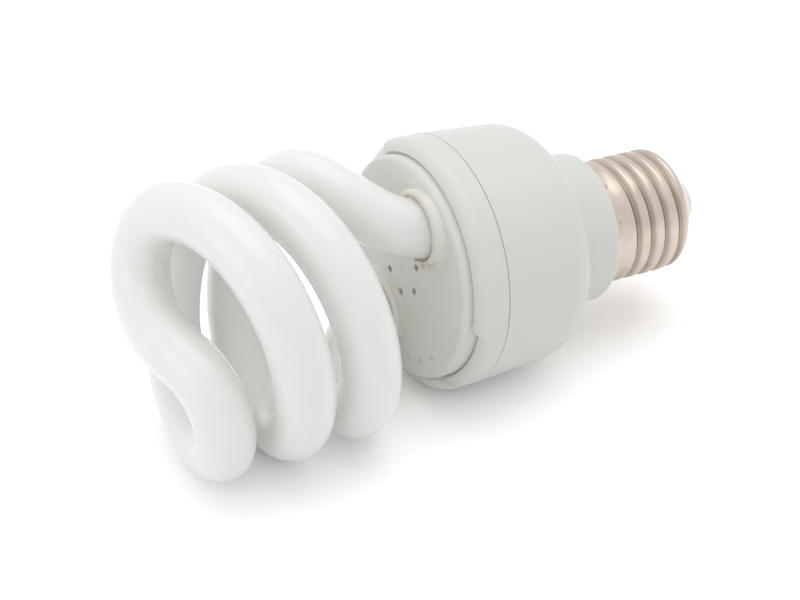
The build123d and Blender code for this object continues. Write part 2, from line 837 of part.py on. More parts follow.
with BuildPart() as shell_wire:
    with BuildLine() as shell_route:
        shell_line = Polyline(
            board_point(*shell_wire_spot, board_seat),
            board_point(*shell_wire_spot, shell_wire_end),
            board_point(*turned(spigot_radius, shell_wire_angle), shell_wire_end),
        )
    with BuildSketch(Plane(origin=shell_line @ 0, z_dir=shell_line % 0)):
        Circle(supply_wire_radius)
    sweep(path=shell_line, transition=Transition.RIGHT)


pieces = {
    "spiral_tube": spiral_tube,
    "tube_cement": tube_cement,
    "tube_plate": tube_plate,
    "cover_ring": cover_ring,
    "housing": housing,
    "screw_shell": screw_shell,
    "cap_insulator": cap_insulator,
    "centre_contact": centre_contact,
    "circuit_board": circuit_board,
    "wire_posts": wire_posts,
    "tube_leads": tube_leads,
    "smoothing_capacitor": smoothing_capacitor,
    "choke_core": choke_core,
    "choke_bobbin": choke_bobbin,
    "choke_winding": choke_winding,
    "drive_toroid": drive_toroid,
    "toroid_windings": toroid_windings,
    "transistors": transistors,
    "resonance_capacitor": resonance_capacitor,
    "coupling_capacitor": coupling_capacitor,
    "rectifier_diodes": rectifier_diodes,
    "resistors": resistors,
    "trigger_diode": trigger_diode,
    "fuse_resistor": fuse_resistor,
    "contact_wire": contact_wire,
    "shell_wire": shell_wire,
}

os.makedirs("parts", exist_ok=True)
for name, piece in pieces.items():
    piece.part.label = name
    export_step(piece.part, f"parts/{name}.step")
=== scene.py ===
# %% [markdown]
# # A spiral energy saving bulb
# The lamp is a bent glass tube on a white ballast housing with a screw cap, lying on its side on a
# pale table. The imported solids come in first, as a fixed frame, and every piece made below sits
# where its solid is. The lamp's inner components keep their solids and only get a finish.

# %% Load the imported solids
import json
import math

import bmesh
import bpy
import numpy as np
from mathutils import Matrix, Vector

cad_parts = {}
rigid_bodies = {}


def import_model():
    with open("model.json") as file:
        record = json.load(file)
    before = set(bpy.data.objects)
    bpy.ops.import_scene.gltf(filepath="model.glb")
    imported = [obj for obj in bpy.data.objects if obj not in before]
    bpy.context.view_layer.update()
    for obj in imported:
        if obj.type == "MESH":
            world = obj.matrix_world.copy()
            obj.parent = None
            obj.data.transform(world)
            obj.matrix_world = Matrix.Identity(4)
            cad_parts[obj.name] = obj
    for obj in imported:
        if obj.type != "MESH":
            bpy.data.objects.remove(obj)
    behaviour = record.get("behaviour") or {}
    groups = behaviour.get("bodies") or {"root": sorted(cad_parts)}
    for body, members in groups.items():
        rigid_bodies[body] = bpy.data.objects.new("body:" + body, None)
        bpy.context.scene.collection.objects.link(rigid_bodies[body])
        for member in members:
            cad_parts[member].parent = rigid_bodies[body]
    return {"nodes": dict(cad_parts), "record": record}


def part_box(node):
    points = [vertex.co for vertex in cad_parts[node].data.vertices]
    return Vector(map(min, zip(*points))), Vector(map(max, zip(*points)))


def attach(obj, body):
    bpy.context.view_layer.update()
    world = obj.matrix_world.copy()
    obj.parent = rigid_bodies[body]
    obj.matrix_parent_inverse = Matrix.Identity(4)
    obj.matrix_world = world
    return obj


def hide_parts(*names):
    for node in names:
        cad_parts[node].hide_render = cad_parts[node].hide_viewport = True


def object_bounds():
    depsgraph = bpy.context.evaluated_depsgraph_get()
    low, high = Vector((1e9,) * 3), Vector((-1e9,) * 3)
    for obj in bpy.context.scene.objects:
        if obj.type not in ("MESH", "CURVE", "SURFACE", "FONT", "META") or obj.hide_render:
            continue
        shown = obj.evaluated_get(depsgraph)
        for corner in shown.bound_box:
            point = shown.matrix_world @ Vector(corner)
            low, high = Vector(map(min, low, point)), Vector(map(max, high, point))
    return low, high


for leftover in list(bpy.data.objects):
    bpy.data.objects.remove(leftover)
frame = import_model()
solid_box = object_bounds()
print("solids:", len(frame["nodes"]), "box", [tuple(round(c, 4) for c in p) for p in solid_box])

# %% [markdown]
# ## The lamp's own axes
# The lamp rests a little tilted, on its lowest turn of glass and on the housing's shoulder. Turned
# parts are easiest to draw along their own axis, so points are worked out in millimetres as up line,
# far side and height from the seam, and then turned into the shared frame. The record's contact at
# the cap's tip gives the axis, so this follows the solids.

# %% Axes from the centre contact
contact_mount = next(m for m in frame["record"]["mounts"] if m["name"] == "centre_contact")
tip_height = -61.1
to_head = -Vector(contact_mount["axis"]).normalized()
far_side = Vector((0, 1, 0))
up_line = far_side.cross(to_head)
seam_centre = Vector(contact_mount["pos_m"]) - to_head * tip_height * 0.001
LAMP_AXES = np.array([up_line, far_side, to_head])


def in_room(points):
    """Points in millimetres along the lamp's axes, in metres in the shared frame."""
    return np.asarray(points, float) * 0.001 @ LAMP_AXES + np.array(seam_centre)


def turned(radius, angle):
    """Across-the-lamp coordinates at a radius and an angle in degrees from the up line."""
    return np.array((radius * math.cos(math.radians(angle)), radius * math.sin(math.radians(angle))))


tilt = math.degrees(math.asin(to_head.z))
print("tilt", round(tilt, 3), "seam centre", tuple(round(c, 5) for c in seam_centre))

# %% [markdown]
# ## Skins from grids of points
# Almost every outer piece of this lamp is a surface whose points lie in rows and columns: a profile
# turned round the axis, or a circle carried along a path. One helper covers such a grid with quads,
# welds the points that meet on the axis and turns all faces outward. Screw and Spin modifiers would
# also turn a profile, but a grid lets the profile change as it goes round.

# %% Grid to mesh
def mesh_of_grids(name, grids, sharp=35):
    """One mesh from several grids, each with its rows closed or open along the profile."""
    body = bmesh.new()
    for grid, closed in grids:
        rows, columns = grid.shape[:2]
        spots = [body.verts.new(p) for p in in_room(grid.reshape(-1, 3))]
        for row in range(rows if closed else rows - 1):
            here, there = row * columns, (row + 1) % rows * columns
            for column in range(columns):
                beside = (column + 1) % columns
                corners = (here + column, here + beside, there + beside, there + column)
                body.faces.new([spots[c] for c in corners])
    bmesh.ops.remove_doubles(body, verts=body.verts, dist=1e-7)
    bmesh.ops.recalc_face_normals(body, faces=body.faces)
    mesh = bpy.data.meshes.new(name)
    body.to_mesh(mesh)
    body.free()
    soft_shading(mesh, sharp)
    return mesh


def soft_shading(mesh, sharp):
    """Smooth shading that stops at edges bent more than an angle."""
    mesh.shade_smooth()
    mesh.set_sharp_from_angle(angle=math.radians(sharp))


def place(name, mesh, slot, *solids):
    """Puts a finished mesh on the lamp in place of its solids."""
    piece = bpy.data.objects.new(name, mesh)
    bpy.context.scene.collection.objects.link(piece)
    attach(piece, "root")
    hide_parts(*solids)
    low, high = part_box(solids[0])
    made = np.array([v.co for v in mesh.vertices])
    drift = max(np.abs(made.min(0) - np.array(low)).max(), np.abs(made.max(0) - np.array(high)).max())
    print(name, len(mesh.polygons), "faces, box differs from the solid's by", round(drift * 1000, 2), "mm")
    return piece


# %% [markdown]
# ## The glass spiral
# Two arms of one tube leave the plate on leaning legs, wind round side by side and meet in a bridge
# across the head. The whole coil leans a little towards the near side, as bent glass often does. A curve
# with a round bevel could follow it, but the bevel twists where the path turns over. Here the middle line
# is worked out in five stretches an arm, evened out to equal steps, and a circle is carried along it.

# %% Middle line of the tube
tube_radius = 5.85
coil_radius = 23.8
coil_pitch = 30.1
bridge_height = 64.4
bridge_bend = 11.0
bridge_angle = 23.5
arm_angle = 347.0
coil_lean = math.radians(4.4)
leg_circle = 14.0
leg_angles = (-27.0, 153.0)
leg_lean = math.radians(22)
leg_reach = (-10.04, 4.0)
plate_front = 8.9
COIL_AXES = np.array((
    (1, 0, 0), (0, math.cos(coil_lean), math.sin(coil_lean)), (0, -math.sin(coil_lean), math.cos(coil_lean))))


def leg_axes(angle):
    """Foot of a leg on the plate's front, and its own axes: inward, sideways, out along the leg."""
    foot = np.array((*turned(leg_circle, angle), plate_front))
    inward = np.array((*turned(-1, angle), 0))
    outward = np.array((*turned(math.sin(leg_lean), angle + 90), math.cos(leg_lean)))
    return foot, inward, np.cross(outward, inward), outward


def easing_curve(start, start_way, end, end_way, pull, count=60):
    """A smooth join between two stretches that leaves and arrives along their directions."""
    t = np.linspace(0, 1, count)[:, None]
    reach = pull * np.linalg.norm(end - start)
    leave = (t**3 - 2 * t**2 + t) * reach * start_way + (t**3 - t**2) * reach * end_way
    return (2 * t**3 - 3 * t**2 + 1) * start + (3 * t**2 - 2 * t**3) * end + leave


def winding(centre, radius, angles, height, slope):
    """A rising turn round a centre, from the first angle to the last, in degrees."""
    steps = np.radians(np.linspace(*angles, max(40, int(abs(angles[1] - angles[0]) * 2))))
    rise = height + slope * radius * (steps - steps[0])
    return np.column_stack((centre[0] + radius * np.cos(steps), centre[1] + radius * np.sin(steps), rise))


def way_at(points, end):
    """Direction of a run of points at its first or last point."""
    step = points[1] - points[0] if end == 0 else points[-1] - points[-2]
    return step / np.linalg.norm(step)


bend_centre = coil_radius - bridge_bend
straight = math.sqrt(bend_centre**2 - bridge_bend**2)
bridge_way = bridge_angle + math.degrees(math.asin(bridge_bend / bend_centre))
slope = coil_pitch / (2 * math.pi * coil_radius)
bend_sweep = bridge_way + 90 - bridge_angle
arm_top = bridge_height - slope * (bridge_bend * math.radians(bend_sweep) + straight / 2)
arm_foot = arm_top - coil_pitch * arm_angle / 360

coil = winding((0, 0), coil_radius, (bridge_angle - arm_angle, bridge_angle), arm_foot, slope)
bend_spot = turned(bend_centre, bridge_angle)
bend = winding(bend_spot, bridge_bend, (bridge_angle, bridge_angle + bend_sweep), arm_top, slope)
head = np.array((0, 0, bridge_height))
crown = easing_curve(bend[-1], way_at(bend, -1), head, np.array((*turned(-1, bridge_way), 0)), 0.96)
upper = np.concatenate((coil[:-1], bend[:-1], crown))

arms = []
for angle, half_turn in zip(leg_angles, ((1, 1, 1), (-1, -1, 1))):
    leg_foot, _, _, leg_way = leg_axes(angle)
    leg = leg_foot + np.linspace(*leg_reach, 14)[:, None] * leg_way
    wound = upper * half_turn @ COIL_AXES
    leg_bend = easing_curve(leg[-1], leg_way, wound[0], way_at(wound, 0), 1.055)
    arms.append(np.concatenate((leg[:-1], leg_bend[:-1], wound)))
    print("arm:", round(np.linalg.norm(np.diff(arms[-1], axis=0), axis=1).sum(), 1), "mm of glass")

# %% Tube along both arms
def even_steps(path, step):
    """The same path with its points an equal step apart."""
    along = np.concatenate(([0], np.cumsum(np.linalg.norm(np.diff(path, axis=0), axis=1))))
    stops = np.linspace(0, along[-1], int(along[-1] / step))
    return np.column_stack([np.interp(stops, along, path[:, k]) for k in range(3)]), stops


def carried_circle(path, radii, count):
    """A circle carried along a path without twist, with a radius for each point."""
    ways = np.gradient(path, axis=0)
    ways /= np.linalg.norm(ways, axis=1)[:, None]
    side = np.cross(ways[0], (0.3, 0.5, 0.8))
    spokes = np.linspace(0, 2 * math.pi, count, endpoint=False)
    rows = []
    for spot, way, radius in zip(path, ways, radii):
        side = side - way * side.dot(way)
        side /= np.linalg.norm(side)
        other = np.cross(way, side)
        rows.append(spot + radius * (np.cos(spokes)[:, None] * side + np.sin(spokes)[:, None] * other))
    return np.array(rows)


whole, stops = even_steps(np.concatenate((arms[0], arms[1][-2::-1])), 0.8)
seal = 2.2
from_end = np.minimum(stops, stops[-1] - stops)
thinning = np.sqrt(np.clip(1 - np.clip(1 - from_end / seal, 0, 1) ** 2, 0, 1))
glass = carried_circle(whole, tube_radius * np.maximum(thinning, 1e-4), 64)
spiral = place("glass_spiral", mesh_of_grids("glass_spiral", [(glass, False)]), "coated_glass", "spiral_tube")

# %% [markdown]
# ## The housing
# The ballast housing is a white moulding: a slightly tapered wall, a broad round shoulder, and a neck
# that ends in a spigot inside the screw shell. Its outline is drawn as corners with a rounding each and
# turned round the axis. Moulded edges are never quite sharp, so the seam and neck get small rounds. The
# seam is a fine slit, which the cover ring leaves open.

# %% Rounded outlines and the housing
def softened(corners, steps=10):
    """A closed outline from corners (radius, height, rounding), with an arc at each rounding."""
    points = []
    for k, (x, y, rounding) in enumerate(corners):
        here = np.array((x, y))
        if rounding <= 0:
            points.append(here)
            continue
        back = np.array(corners[k - 1][:2]) - here
        on = np.array(corners[(k + 1) % len(corners)][:2]) - here
        back /= np.linalg.norm(back)
        on /= np.linalg.norm(on)
        half = math.acos(np.clip(back.dot(on), -1, 1)) / 2
        middle = here + (back + on) / np.linalg.norm(back + on) * rounding / math.sin(half)
        first = here + back * rounding / math.tan(half) - middle
        last = here + on * rounding / math.tan(half) - middle
        sweep = math.atan2(first[0] * last[1] - first[1] * last[0], first.dot(last))
        for t in np.linspace(0, sweep, steps + 1):
            turn = np.array(((math.cos(t), -math.sin(t)), (math.sin(t), math.cos(t))))
            points.append(middle + turn @ first)
    return np.array(points)


def lathe(outline, columns):
    """The grid of a (radius, height) outline turned round the lamp's axis."""
    angles = np.linspace(0, 2 * math.pi, columns, endpoint=False)
    across = outline[:, :1] * np.cos(angles), outline[:, :1] * np.sin(angles)
    return np.stack((*across, np.repeat(outline[:, 1:], columns, axis=1)), axis=-1)


housing_outline = softened([
    (26.25, 0, 0.16), (24.689, -23.5, 8.0), (15.9, -23.5, 0.9), (15.9, -34.2, 1.3), (12.45, -34.2, 0),
    (12.45, -37.25, 0), (11.55, -37.25, 0), (11.55, -43.2, 0.3), (10.4, -43.2, 0.3), (10.4, -32.4, 0),
    (14.1, -32.4, 0), (14.1, -21.7, 0), (18.86, -21.7, 3.0), (22.94, -17.5, 3.0), (23.86, -8.8, 0),
    (22.45, -7.0, 0), (22.45, -5.4, 0), (24.25, -5.4, 0), (24.25, 0, 0.16)], 14)
housing_mesh = mesh_of_grids("ballast_housing", [(lathe(housing_outline, 192), True)])
housing = place("ballast_housing", housing_mesh, "white_plastic", "housing")

# %% [markdown]
# ## The cover ring
# The ring closes the housing and frames the plate that holds the glass. Its front edge is a broad
# round, set back along two stretches where it snaps in. A boolean cut leaves hard edges, while on the
# moulding the round goes on lower down and the slanting ends of the cut run out into the wall. So each
# spoke of the grid gets its own profile: the round edge, lowered by its share of the cut.

# %% Ring with its cut-back stretches
ring_bore, ring_radius, ring_front, ring_round = 23.6, 26.25, 7.0, 2.6
cut_floor = 5.2
cut_stretches = ((34, 87), (214, 267))
cut_slant = 4.0
cut_fade = 1.3
edge_lip = 0.3
groove_drop = 0.15
seam_slit = 0.16


def cut_share(angle, radius):
    """1 within a cut-back stretch, 0 outside, with an eased step at its slanting ends."""
    inset = cut_slant * (radius - ring_bore) / (ring_radius - ring_bore)
    share = np.zeros_like(radius)
    for start, end in cut_stretches:
        step = np.clip((np.minimum(angle - start, end - angle) - inset) / cut_fade + 0.5, 0, 1)
        share = np.maximum(share, step * step * (3 - 2 * step))
    return share


def ring_spoke(angle):
    """The ring's outline at an angle, as (radius, height) rows."""
    edge = np.radians(np.linspace(90, 0, 30))
    reach = ring_radius - ring_round + ring_round * np.cos(edge)
    top = ring_front - ring_round + ring_round * np.sin(edge)
    inner = ring_bore + edge_lip * (1 - np.cos(np.linspace(0, math.pi / 2, 7)))
    inner_top = np.interp(inner, reach, top)
    radius = np.concatenate((inner, reach[reach > inner[-1] + 0.02]))
    height = np.concatenate((inner_top, top[reach > inner[-1] + 0.02]))
    height = height - (ring_front - cut_floor) * cut_share(angle, radius)
    worn = np.clip(1 - (radius - ring_bore) / edge_lip, 0, 1)
    height = height - edge_lip * (1 - np.sqrt(1 - worn**2))
    down = np.linspace(height[-1], 0.34, 8)[1:]
    wall = np.column_stack((np.full(len(down), ring_radius), down))
    foot = np.array((
        (26.2, 0.22), (26.1, seam_slit), (25.4, seam_slit), (25.3, 0), (24.1, 0), (24.1, -3.8), (22.5, -3.8),
        (22.5, 1.0)))
    groove = height[0] - groove_drop
    shelf = np.array(((20.6, 1.0), (20.6, 2.6), (23.25, 2.6), (23.26, groove - 0.1), (23.34, groove - 0.01),
                      (23.45, groove), (23.57, groove + 0.1)))
    return np.concatenate((np.column_stack((radius, height)), wall, foot, shelf))


coarse_step, fine_step = 1.5, 0.2
fine_steps = np.arange(-1.2, 6.3, fine_step)
near_ends = [spot for start, end in cut_stretches for spot in (*(start + fine_steps), *(end - fine_steps))]
spokes = sorted(set(np.arange(0, 360, coarse_step)) | {round(a % 360, 3) for a in near_ends})
profiles = np.array([ring_spoke(a) for a in spokes])
spin = np.radians(spokes)
ring_grid = np.stack((
    profiles[..., 0].T * np.cos(spin), profiles[..., 0].T * np.sin(spin), profiles[..., 1].T), axis=-1)
cover = place("cover_ring_skin", mesh_of_grids("cover_ring_skin", [(ring_grid, True)]), "white_plastic",
              "cover_ring")

# %% [markdown]
# ## The tube plate
# The plate is a shallow cup with six vent holes, a few shallow marks and a raised collar round each leg.
# The cup and its holes are one turned solid with cylinders taken out of it. A collar's wall leans with its
# leg while its rim lies level with the plate, so it is a grid of its own that slides each point along the
# leg.

# %% Cup with vents
plate_outline = softened([
    (0, 8.9, 0), (23.2, 8.9, 1.25), (23.2, 2.6, 0), (21.2, 2.6, 0), (21.2, 6.9, 0.6), (0, 6.9, 0)], 12)
plate_mesh = mesh_of_grids("plate_cup", [(lathe(plate_outline, 160), True)])
plate_cup = bpy.data.objects.new("plate_cup", plate_mesh)
bpy.context.scene.collection.objects.link(plate_cup)


def plug(centre, way, radius, back, on, columns):
    """A grid for a round plug along a direction, with both ends closed."""
    way = np.asarray(way, float)
    path = np.array([centre + way * d for d in (back, back, on, on)])
    path[0] -= way * 1e-4
    path[-1] += way * 1e-4
    return carried_circle(path, (1e-6, radius, radius, 1e-6), columns)


def plate_plug(spot, radius, depth, columns):
    """A plug straight into the plate's front."""
    return plug(np.array((*spot, plate_front)), (0, 0, 1), radius, -depth, 1, columns)


vent_circle, vent_radius, vent_depth = 5.6, 0.75, 3.5
mark_circle, mark_radius, mark_depth = 19.2, 0.5, 0.3
middle_radius, middle_depth = 0.6, 0.1
leg_hole = 7.0
vent_spots = [turned(vent_circle, 60 * k) for k in range(6)]
plugs = [plate_plug(spot, vent_radius, vent_depth, 28) for spot in vent_spots]
mark_spots = [turned(mark_circle, 210 + 15 * k) for k in (-1, 0, 1)]
plugs += [plate_plug(spot, mark_radius, mark_depth, 20) for spot in mark_spots]
plugs.append(plate_plug((0, 0), middle_radius, middle_depth, 20))
for angle in leg_angles:
    leg_foot, _, _, leg_way = leg_axes(angle)
    plugs.append(plug(leg_foot, leg_way, leg_hole, -9, 9, 96))
cutter = bpy.data.objects.new("plate_holes", mesh_of_grids("plate_holes", [(g, False) for g in plugs]))
bpy.context.scene.collection.objects.link(cutter)
drill = plate_cup.modifiers.new("holes", "BOOLEAN")
drill.operation = "DIFFERENCE"
drill.solver = "EXACT"
drill.object = cutter
drilled = bpy.data.meshes.new_from_object(plate_cup.evaluated_get(bpy.context.evaluated_depsgraph_get()))
print("plate cup:", len(plate_mesh.polygons), "faces before and", len(drilled.polygons), "after drilling")
for tool in (plate_cup, cutter):
    bpy.data.objects.remove(tool)

# %% Collars round the legs
collar_bore, collar_radius, collar_rise = 6.35, 7.75, 1.8


def on_leg(angle, spins, radius, height):
    """Points round a leg at a radius from its own line and a height above the plate."""
    leg_foot, leg_in, leg_side, leg_way = leg_axes(angle)
    out = np.cos(spins)[:, None] * leg_in + np.sin(spins)[:, None] * leg_side
    along = (height - radius * out[:, 2]) / leg_way[2]
    return leg_foot + radius * out + along[:, None] * leg_way


collar_outline = softened([
    (collar_bore, -3.2, 0), (collar_bore, collar_rise, 0.35), (collar_radius, collar_rise, 0.95),
    (collar_radius, -0.012, 0.4), (8.2, -0.012, 0)], 9)
collar_spins = np.linspace(0, 2 * math.pi, 128, endpoint=False)
collars = [np.array([on_leg(angle, collar_spins, *spot) for spot in collar_outline]) for angle in leg_angles]
collar_mesh = mesh_of_grids("collars", [(grid, False) for grid in collars])
cup_faces = len(drilled.polygons)
joined = bmesh.new()
joined.from_mesh(drilled)
joined.from_mesh(collar_mesh)
joined.to_mesh(drilled)
joined.free()
soft_shading(drilled, 35)
plate = place("tube_plate_skin", drilled, "white_plastic", "tube_plate")

# %% [markdown]
# ## Cement round the legs
# The glass is held in its collars by cream cement that was pushed in wet: its edge wanders, it has sunk in
# one place, and a few crumbs have dried on the rim there. Smooth rings would look machined, so the top of
# each ring follows a few waves of different lengths, and the crumbs are small uneven lumps on the rim.

# %% Cement rings and crumbs
rough = np.random.default_rng(7)
cement_drop = 0.34
sunk_depth, sunk_spin, sunk_width = 0.9, 1.1, 0.5


def wander(angles, size, waves):
    """A closed wavy line round a ring, made of a few sine waves with seeded phases."""
    line = np.zeros_like(angles)
    for wave in waves:
        line += np.sin(wave * angles + rough.uniform(0, 6.28)) * rough.uniform(0.5, 1) / math.sqrt(wave)
    return size * line


def cement_ring(angle):
    """The grid of one ring of cement between a leg and its collar."""
    spins = np.linspace(0, 2 * math.pi, 160, endpoint=False)
    edge = wander(spins, 0.1, (2, 5, 9, 17, 31))
    climb = np.abs(wander(spins, 0.14, (3, 7, 13, 23)))
    inner, outer = tube_radius + 0.02, collar_bore - 0.02
    rows = [on_leg(angle, spins, inner, -1.0)]
    for share in np.linspace(0, 1, 9):
        sag = collar_rise - cement_drop + edge * 0.6 + climb * (1 - share) ** 2 + 0.12 * (2 * share - 1) ** 2
        sag = sag - sunk_depth * np.exp(-((spins - sunk_spin) / sunk_width) ** 2)
        rows.append(on_leg(angle, spins, inner + share * (outer - inner), np.minimum(sag, collar_rise + 0.1)))
    rows.append(on_leg(angle, spins, outer, -1.0))
    return np.array(rows)


def crumb(angle, spin_now, size, out):
    """An uneven lump on a collar's rim, some way out from its bore."""
    middle = on_leg(angle, np.array([spin_now]), collar_bore + out, collar_rise - max(0, out - 0.9))[0]
    turn, tilt = np.meshgrid(np.linspace(0, 2 * math.pi, 14, endpoint=False), np.linspace(0, math.pi, 9))
    lump = size * (1 + 0.22 * np.sin(3 * turn + rough.uniform(0, 6)) * np.sin(tilt)
                   + 0.18 * np.sin(2 * tilt + 5 * turn + rough.uniform(0, 6)) * np.sin(tilt) ** 2)
    ball = np.stack((np.sin(tilt) * np.cos(turn), np.sin(tilt) * np.sin(turn), np.cos(tilt)), axis=-1)
    return middle + ball * lump[..., None]


cement = [(cement_ring(angle), False) for angle in leg_angles]
for crumb_spin in np.radians((38, 43, 47, 50, 54, 57, 61, 66, 70, 75, 81, 88)):
    lump = crumb(leg_angles[0], crumb_spin, rough.uniform(0.18, 0.42), rough.uniform(0.2, 1.5))
    cement.append((lump, False))
bedding = place("leg_cement", mesh_of_grids("leg_cement", cement, 60), "cement", "tube_cement")

# %% [markdown]
# ## The screw shell
# The cap is thin plated sheet with the round thread rolled into it, 3.6 mm from turn to turn. A sweep of
# a ridge along a helix leaves a crease where it meets the shell. Rolled sheet has none, so here the
# radius itself is a wave of angle and height: a groove that sets in below the smooth skirt and fades
# before the cone. Two small stake marks by the neck hold the shell on its spigot. Each point also keeps how
# deep in the groove or in a stake mark it lies, for the painted shade that the finish lays in these hollows.

# %% Rolled thread
thread_pitch, thread_root, thread_crest = 3.629, 12.1, 13.15
groove_start = -43.95
groove_sharpness = 2.6
groove_sets_in, groove_fades = (37.8, 39.4), (52.6, 54.2)
skirt_radius, lip_radius, cone_angle = 13.0, 9.9, 40
shell_top, shell_foot = -34.2, -56.2
stake_spots = ((-24, -36.4), (-60, -36.4))
stake_depth, stake_size = 0.3, 0.35


def ease(value, start, end):
    """0 before the start, 1 after the end, and smooth between."""
    t = np.clip((value - start) / (end - start), 0, 1)
    return t * t * (3 - 2 * t)


def soft_lower(a, b, blend):
    """The lower of two values, with a rounded corner where they cross."""
    mix = np.clip(0.5 + 0.5 * (b - a) / blend, 0, 1)
    return b + (a - b) * mix - blend * mix * (1 - mix)


def groove_share(height, angle):
    """1 at the bottom of the thread's groove, 0 on its crest, the skirt and the cone."""
    phase = 2 * math.pi * (height - groove_start) / thread_pitch - angle
    wave = (0.5 + 0.5 * np.cos(phase)) ** groove_sharpness
    return wave * ease(-height, *groove_sets_in) * (1 - ease(-height, *groove_fades))


def stake_share(height, angle):
    """1 in the middle of a stake mark, 0 away from both."""
    share = np.zeros_like(height)
    for spot, level in stake_spots:
        aside = np.angle(np.exp(1j * (angle - math.radians(spot)))) * skirt_radius
        share = share + np.exp(-(aside / stake_size) ** 2 - ((height - level) / stake_size) ** 2)
    return share


def shell_radius(height, angle):
    """Outside radius of the shell at a height and an angle."""
    body = skirt_radius + (thread_crest - skirt_radius) * ease(-height, 36.7, 38.5)
    cone = lip_radius + (height - shell_foot) / math.tan(math.radians(cone_angle))
    threaded = body - (thread_crest - thread_root) * groove_share(height, angle)
    outside = soft_lower(threaded, cone, 0.9)
    return outside - stake_depth * stake_share(height, angle)


shell_heights = np.concatenate((np.linspace(shell_top, -37.2, 16), np.linspace(-37.2, shell_foot, 132)[1:]))
shell_angles = np.linspace(0, 2 * math.pi, 240, endpoint=False)
level, bearing = np.meshgrid(shell_heights, shell_angles, indexing="ij")
outside = shell_radius(level, bearing)
skin = np.stack((outside * np.cos(bearing), outside * np.sin(bearing), level), axis=-1)
bore_outline = np.array(((9.28, -56.2), (11.68, -54.1), (11.7, -37.5), (12.55, -37.4), (12.6, -34.2)))
shell_grid = np.concatenate((skin, lathe(bore_outline, 240)))
shell_mesh = mesh_of_grids("rolled_shell", [(shell_grid, True)], 50)
shell = place("rolled_shell", shell_mesh, "plated_shell", "screw_shell")
across = (np.array([v.co for v in shell_mesh.vertices]) - np.array(seam_centre)) @ LAMP_AXES.T * 1000
shell_spin = np.arctan2(across[:, 1], across[:, 0])
# How deep each point lies in a thread root or stake mark, kept as the amount of painted shade for the finish.
root_shade_share = groove_share(across[:, 2], shell_spin) + stake_share(across[:, 2], shell_spin)
root_shade_attribute = shell_mesh.attributes.new("groove", "FLOAT", "POINT")
root_shade_attribute.data.foreach_set("value", root_shade_share)
print("groove marked on", int((root_shade_share > 0.5).sum()), "points")

# %% [markdown]
# ## Insulator and centre contact
# The tip of the cap is a pale moulded cone behind the shell's lip, with a tinned contact disc on its end.
# Both are turned pieces. The contact has a low rim and a drop of solder in its middle.

# %% Tip of the cap
insulator_outline = softened([
    (1.2, -59.8, 0), (5.5, -59.8, 0.7), (9.05, -56.2, 0.2), (10.7, -54.8, 0.2), (10.7, -53.3, 0.2),
    (1.2, -53.3, 0)], 8)
insulator = place("cap_cone", mesh_of_grids("cap_cone", [(lathe(insulator_outline, 128), True)]), "cap_glass",
                  "cap_insulator")
contact_outline = np.concatenate((
    softened([(0, -59.8, 0), (4.7, -59.8, 0), (4.7, -61.1, 0.5), (3.6, -61.1, 0.15), (3.3, -60.85, 0.15),
              (2.4, -60.85, 0.3)], 6),
    [(2.0, -60.95), (1.5, -61.04), (0.8, -61.09), (0, -61.1)]))
button = place("contact_disc", mesh_of_grids("contact_disc", [(lathe(contact_outline, 96), True)]),
               "contact_metal", "centre_contact")

# %% [markdown]
# ## Finishes
# Each finish is a shader with a few noise textures: one shifts the colour a little, one the gloss, and
# one lifts a fine bump. Textures are read in the shared frame, in metres, so a scale of 1000 means
# details about a millimetre across, and no picture has to be wrapped round the piece.

# %% A helper for finishes
def finish(name, colours, scale, gloss, bump, **fixed):
    """A shader whose colour and roughness wander between two values, with a fine bump."""
    made = bpy.data.materials.new(name)
    made.use_nodes = True
    tree = made.node_tree
    shader = tree.nodes["Principled BSDF"]
    spot = tree.nodes.new("ShaderNodeTexCoord")
    mottle = tree.nodes.new("ShaderNodeTexNoise")
    mottle.inputs["Scale"].default_value = scale
    mottle.inputs["Detail"].default_value = 6
    tree.links.new(spot.outputs["Object"], mottle.inputs["Vector"])
    ramp = tree.nodes.new("ShaderNodeValToRGB")
    ramp.color_ramp.elements[0].position = 0.3
    ramp.color_ramp.elements[1].position = 0.7
    for stop, colour in zip(ramp.color_ramp.elements, colours):
        stop.color = (*colour, 1)
    tree.links.new(mottle.outputs["Fac"], ramp.inputs["Fac"])
    tree.links.new(ramp.outputs["Color"], shader.inputs["Base Color"])
    sheen = tree.nodes.new("ShaderNodeMapRange")
    sheen.inputs["To Min"].default_value, sheen.inputs["To Max"].default_value = gloss
    tree.links.new(mottle.outputs["Fac"], sheen.inputs["Value"])
    tree.links.new(sheen.outputs["Result"], shader.inputs["Roughness"])
    fine = tree.nodes.new("ShaderNodeTexNoise")
    fine.inputs["Scale"].default_value, fine.inputs["Detail"].default_value = bump[0], 3
    tree.links.new(spot.outputs["Object"], fine.inputs["Vector"])
    relief = tree.nodes.new("ShaderNodeBump")
    relief.inputs["Strength"].default_value = bump[1]
    relief.inputs["Distance"].default_value = bump[2]
    tree.links.new(fine.outputs["Fac"], relief.inputs["Height"])
    tree.links.new(relief.outputs["Normal"], shader.inputs["Normal"])
    for socket, value in fixed.items():
        shader.inputs[socket.replace("_", " ")].default_value = value
    return made


def dress(piece, made):
    """Gives a piece or a solid one finish."""
    piece.data.materials.clear()
    piece.data.materials.append(made)


